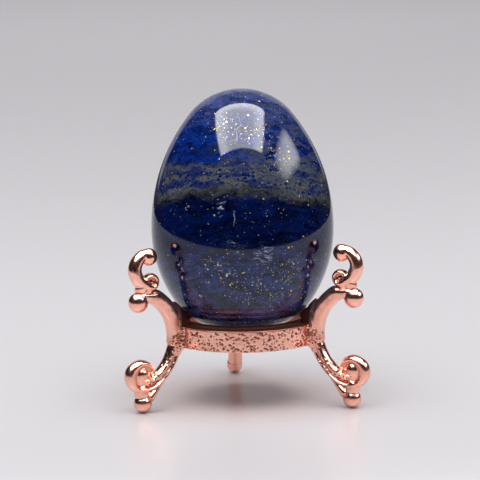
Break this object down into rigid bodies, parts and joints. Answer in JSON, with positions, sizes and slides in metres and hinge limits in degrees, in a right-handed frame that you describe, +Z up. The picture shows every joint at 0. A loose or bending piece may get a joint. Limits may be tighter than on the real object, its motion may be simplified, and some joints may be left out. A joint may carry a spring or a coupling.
{
  "type": "stone egg on stand",
  "caption": "Polished lapis stone egg resting loose in a copper-finished ring stand with scrolled legs, ball feet and C-scroll crowns that keep it upright.",
  "frame": {"origin": "on the common axis of the egg and the seat ring, at the level of the table that the three ball feet stand on", "axes": "+Z up along the axis of the egg and the ring; +Y towards the back; the two front legs stand at 210 and 330 degrees from +X, the back leg at 92.5 degrees"},
  "size_m": [0.0502, 0.0477, 0.065],
  "materials": {
    "lapis": "polished",
    "copper": "polished"
  },
  "bodies": {
    "stand": {"seat_ring": "copper", "leg_left": "copper", "leg_right": "copper", "leg_back": "copper", "crown_left": "copper", "crown_right": "copper", "crown_back": "copper"},
    "egg": {"stone_egg": "lapis"}
  },
  "joints": [
    {"name": "egg_lift", "type": "slide", "parent": "stand", "child": "egg", "axis": [0, 0, 1], "range_m": [0, 0.03]}
  ]
}
